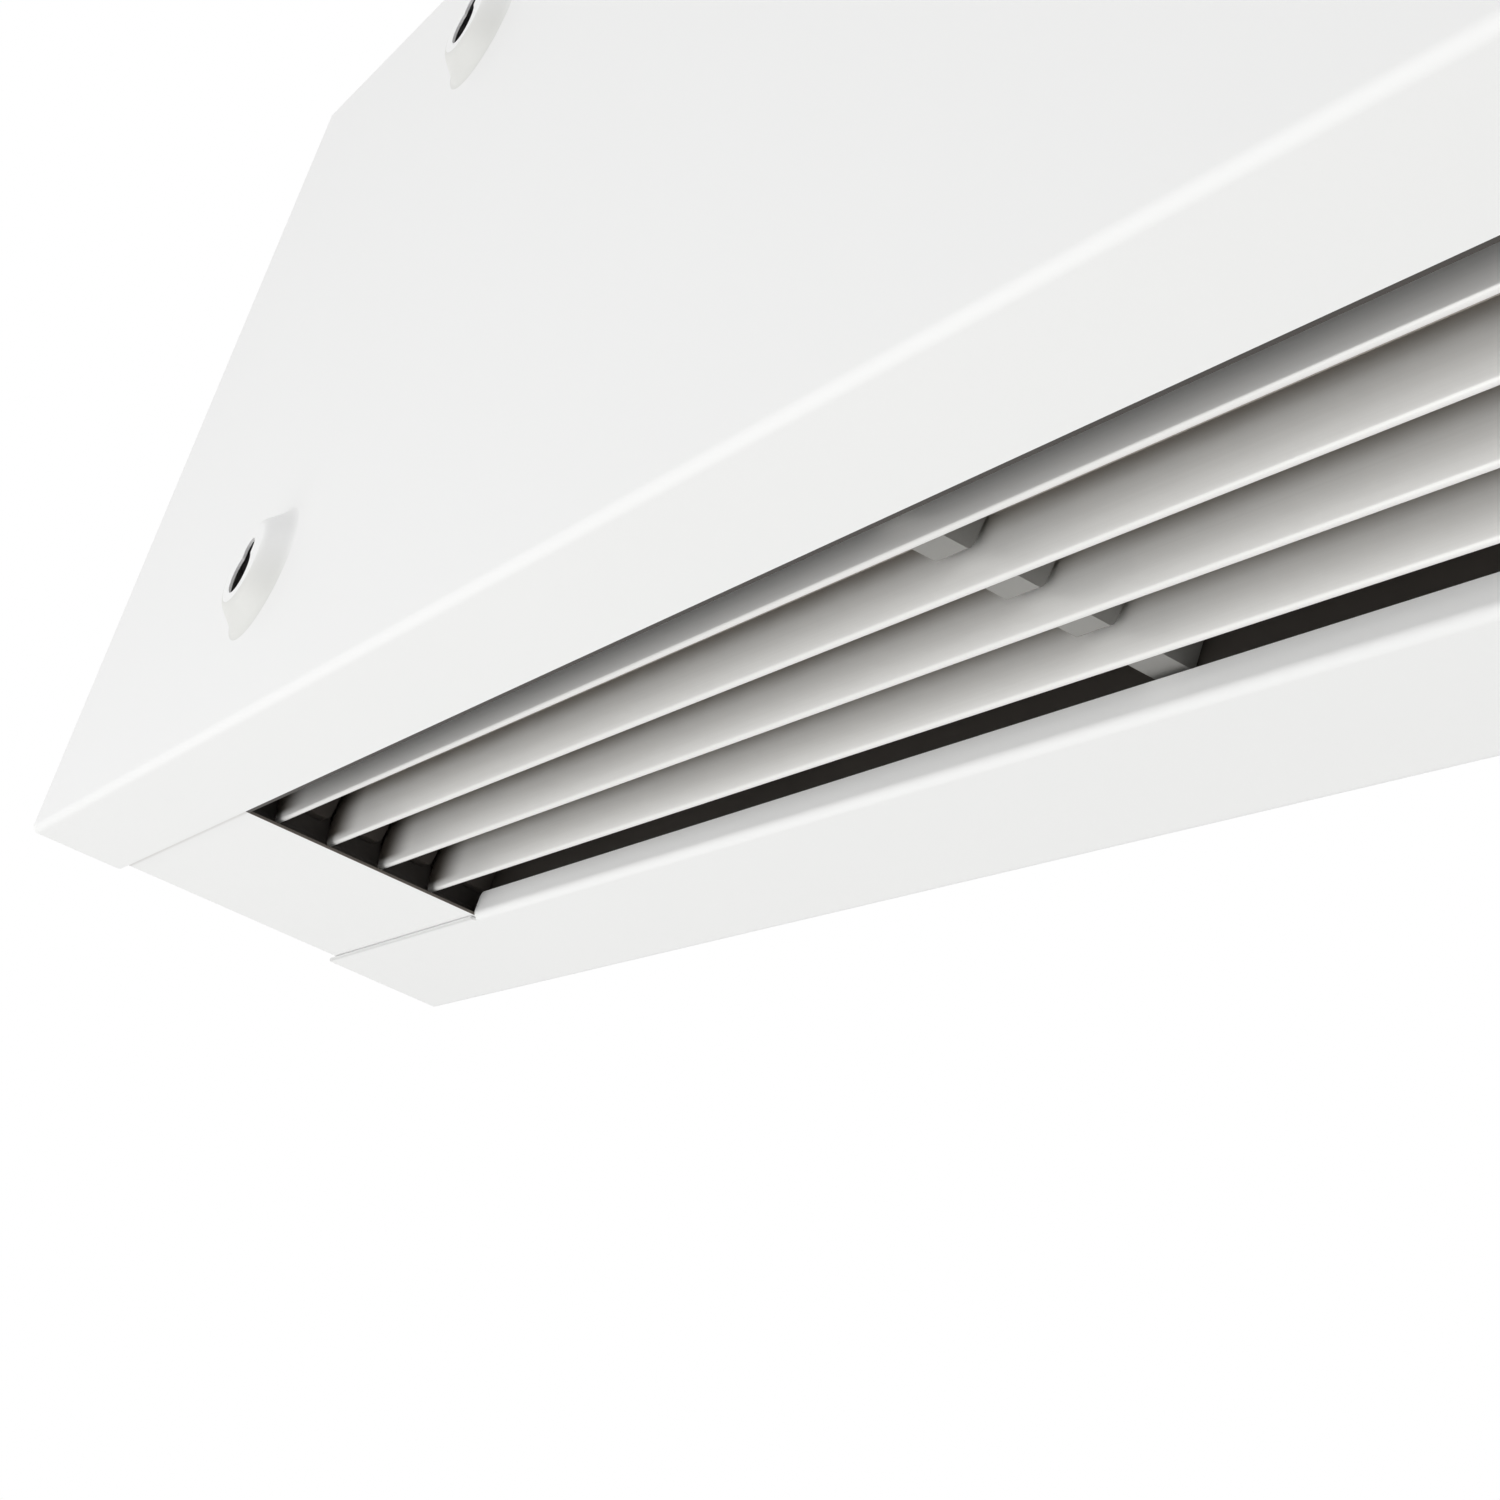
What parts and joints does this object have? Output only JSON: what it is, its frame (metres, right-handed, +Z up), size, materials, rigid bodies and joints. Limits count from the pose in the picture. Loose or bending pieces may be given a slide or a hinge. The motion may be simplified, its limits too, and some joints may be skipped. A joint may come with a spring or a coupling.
{
  "type": "air curtain",
  "caption": "Long wall-hung air curtain: folded white steel casing on keyhole bosses, with a cross-flow rotor, finned heaters and a bank of turning outlet slats.",
  "frame": {"origin": "centre of the four keyholes' entry circles, on the plane of the boss tops, which is the wall's face", "axes": "+X along the casing, +Y out of the back into the wall, +Z up; the front faces -Y and the outlet faces -Z"},
  "size_m": [1.215, 0.198, 0.3693],
  "materials": {
    "casing_paint": "satin powder coat, warm white",
    "galvanised_sheet": "galvanised",
    "duct_paint": "matt coat, dark brown-grey",
    "slat_metal": "satin anodised",
    "comb_plastic": "matt grey",
    "rotor_metal": "mill finish",
    "shaft_steel": "ground",
    "rubber": "matt black",
    "bush_bronze": "sintered bronze",
    "motor_casing": "dark grey lacquer",
    "heater_steel": "bright annealed",
    "ceramic": "glazed, off-white",
    "terminal_plastic": "matt, light grey",
    "gland_plastic": "matt, near black",
    "circuit_board": "lacquered green",
    "nylon": "natural white",
    "capacitor_can": "drawn can",
    "grille_plastic": "fine texture, warm white",
    "filter_mesh": "woven nylon mesh in a moulded frame",
    "screw_steel": "zinc plated"
  },
  "bodies": {
    "casing": {"back_panel": "casing_paint", "front_cover": "casing_paint", "end_plate_left": "casing_paint", "end_plate_right": "casing_paint", "side_plate_left": "duct_paint", "side_plate_right": "duct_paint", "fan_scroll": "duct_paint", "fan_tongue": "duct_paint", "bearing_bush": "bush_bronze", "bearing_rubber": "rubber", "bearing_housing": "galvanised_sheet", "motor": "motor_casing", "motor_rings": "rubber", "motor_cradle": "galvanised_sheet", "heater_1": "heater_steel", "heater_2": "heater_steel", "heater_3": "heater_steel", "heater_brackets": "galvanised_sheet", "thermostat": "ceramic", "terminal_block": "terminal_plastic", "terminal_bracket": "galvanised_sheet", "cable_gland": "gland_plastic", "gland_nut": "gland_plastic", "control_board": "circuit_board", "board_standoffs": "nylon", "run_capacitor": "capacitor_can", "capacitor_clip": "galvanised_sheet", "comb_middle": "comb_plastic", "comb_left": "comb_plastic", "comb_right": "comb_plastic", "grille_pins": "shaft_steel", "intake_filter": "filter_mesh", "filter_rails": "galvanised_sheet", "grille_magnets": "motor_casing", "cover_screws": "screw_steel"},
    "rotor_body": {"rotor": "rotor_metal", "rotor_stub": "shaft_steel", "drive_hub": "rubber", "motor_shaft": "shaft_steel"},
    "slat_1_body": {"slat_1": "slat_metal"},
    "slat_2_body": {"slat_2": "slat_metal"},
    "slat_3_body": {"slat_3": "slat_metal"},
    "slat_4_body": {"slat_4": "slat_metal"},
    "grille_body": {"intake_grille": "grille_plastic"}
  },
  "joints": [
    {"name": "rotor_spin", "type": "hinge", "parent": "casing", "child": "rotor_body", "pos_m": [0, -0.116, 0.027], "axis": [1, 0, 0], "continuous": true},
    {"name": "slat_1_turn", "type": "hinge", "parent": "casing", "child": "slat_1_body", "pos_m": [0, -0.063, -0.1525], "axis": [1, 0, 0], "range_deg": [-6, 6]},
    {"name": "slat_2_turn", "type": "hinge", "parent": "casing", "child": "slat_2_body", "pos_m": [0, -0.0845, -0.1525], "axis": [1, 0, 0], "range_deg": [-6, 6]},
    {"name": "slat_3_turn", "type": "hinge", "parent": "casing", "child": "slat_3_body", "pos_m": [0, -0.106, -0.1525], "axis": [1, 0, 0], "range_deg": [-6, 6]},
    {"name": "slat_4_turn", "type": "hinge", "parent": "casing", "child": "slat_4_body", "pos_m": [0, -0.1275, -0.1525], "axis": [1, 0, 0], "range_deg": [-6, 6]},
    {"name": "grille_open", "type": "hinge", "parent": "casing", "child": "grille_body", "pos_m": [0, -0.195, 0.0253], "axis": [1, 0, 0], "range_deg": [0, 85]}
  ]
}
